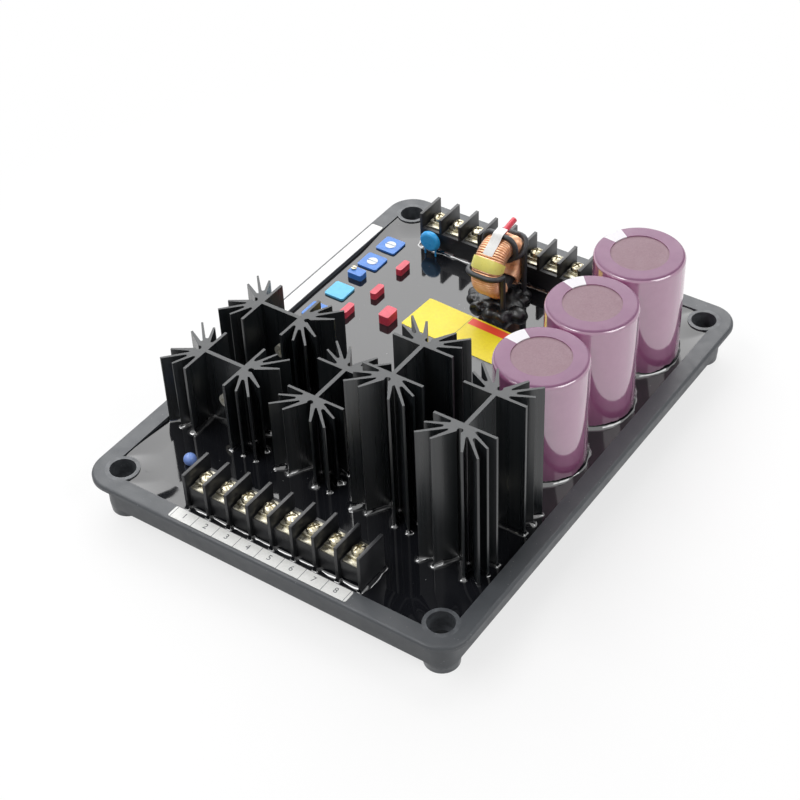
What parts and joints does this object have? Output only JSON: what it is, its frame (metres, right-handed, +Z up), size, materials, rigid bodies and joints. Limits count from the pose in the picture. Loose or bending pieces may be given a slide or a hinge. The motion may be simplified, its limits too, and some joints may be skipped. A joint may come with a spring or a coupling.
{
  "type": "automatic voltage regulator",
  "caption": "Resin-cast generator voltage regulator in a shallow flanged tray, with fanned heat sinks, large capacitors, a ring choke, trimmers and screw terminal strips.",
  "frame": {"origin": "on the plane of the feet, midway between the four mounting holes", "axes": "+Z up from the feet, +Y along the long side away from the front terminal strip, +X along the short side towards the capacitors"},
  "size_m": [0.1632, 0.2132, 0.076],
  "materials": {
    "tray_plastic": "moulded, satin",
    "resin": "cast, mirror smooth",
    "board": "laminate",
    "black_anodised": "black anodised, satin",
    "device_plastic": "moulded",
    "zinc_steel": "plated",
    "terminal_plastic": "moulded",
    "contact_metal": "plated",
    "screw_metal": "nickel plated",
    "can_aluminium": "drawn",
    "mauve_sleeve": "shrunk sleeve",
    "mauve_disc": "sheet",
    "ferrite": "sintered",
    "copper_wire": "enamelled",
    "yellow_tape": "film tape",
    "black_lead": "insulated wire",
    "white_paper": "label",
    "red_sleeve": "shrunk sleeve",
    "adhesive": "cured silicone",
    "blue_plastic": "moulded",
    "white_plastic": "moulded",
    "red_film": "dipped",
    "sky_blue": "dipped",
    "yellow_label": "printed label"
  },
  "bodies": {
    "regulator": {"tray": "tray_plastic", "resin_fill": "resin", "circuit_board": "board", "heat_sink_1": "black_anodised", "heat_sink_2": "black_anodised", "heat_sink_3": "black_anodised", "heat_sink_4": "black_anodised", "heat_sink_5": "black_anodised", "power_device_1": "device_plastic", "power_device_2": "device_plastic", "power_device_3": "device_plastic", "power_device_4": "device_plastic", "power_device_5": "device_plastic", "device_screws": "zinc_steel", "device_nuts": "zinc_steel", "front_terminal_housing": "terminal_plastic", "front_contact_plates": "contact_metal", "front_clamp_washers": "contact_metal", "front_terminal_screws": "screw_metal", "rear_terminal_housing": "terminal_plastic", "rear_contact_plates": "contact_metal", "rear_clamp_washers": "contact_metal", "rear_terminal_screws": "screw_metal", "capacitor_can_1": "can_aluminium", "capacitor_can_2": "can_aluminium", "capacitor_can_3": "can_aluminium", "capacitor_sleeve_1": "mauve_sleeve", "capacitor_sleeve_2": "mauve_sleeve", "capacitor_sleeve_3": "mauve_sleeve", "capacitor_disc_1": "mauve_disc", "capacitor_disc_2": "mauve_disc", "capacitor_disc_3": "mauve_disc", "choke_core": "ferrite", "choke_winding": "copper_wire", "choke_tape": "yellow_tape", "choke_lead_turns": "black_lead", "choke_tag": "white_paper", "choke_red_sleeve": "red_sleeve", "choke_adhesive": "adhesive", "trimmer_body_1": "blue_plastic", "trimmer_body_2": "blue_plastic", "trimmer_body_3": "blue_plastic", "multiturn_trimmer_body": "blue_plastic", "film_capacitor_1": "red_film", "film_capacitor_2": "red_film", "film_capacitor_3": "red_film", "film_capacitor_4": "red_film", "box_capacitor": "sky_blue", "disc_capacitor": "sky_blue", "bead_capacitor": "blue_plastic", "front_label": "white_paper", "side_label": "white_paper", "face_label": "yellow_label"},
    "rotor_1": {"trimmer_rotor_1": "white_plastic"},
    "rotor_2": {"trimmer_rotor_2": "white_plastic"},
    "rotor_3": {"trimmer_rotor_3": "white_plastic"},
    "multiturn_screw": {"multiturn_trimmer_screw": "screw_metal"}
  },
  "joints": [
    {"name": "rotor_1_turn", "type": "hinge", "parent": "regulator", "child": "rotor_1", "pos_m": [-0.0658, 0.0723, 0.0165], "axis": [0, 0, 1], "range_deg": [-135, 135]},
    {"name": "rotor_2_turn", "type": "hinge", "parent": "regulator", "child": "rotor_2", "pos_m": [-0.0658, 0.0588, 0.0165], "axis": [0, 0, 1], "range_deg": [-135, 135]},
    {"name": "rotor_3_turn", "type": "hinge", "parent": "regulator", "child": "rotor_3", "pos_m": [-0.0658, 0.0195, 0.0165], "axis": [0, 0, 1], "range_deg": [-135, 135]},
    {"name": "multiturn_screw_turn", "type": "hinge", "parent": "regulator", "child": "multiturn_screw", "pos_m": [-0.0679, 0.0486, 0.0186], "axis": [0, 0, 1], "continuous": true}
  ]
}
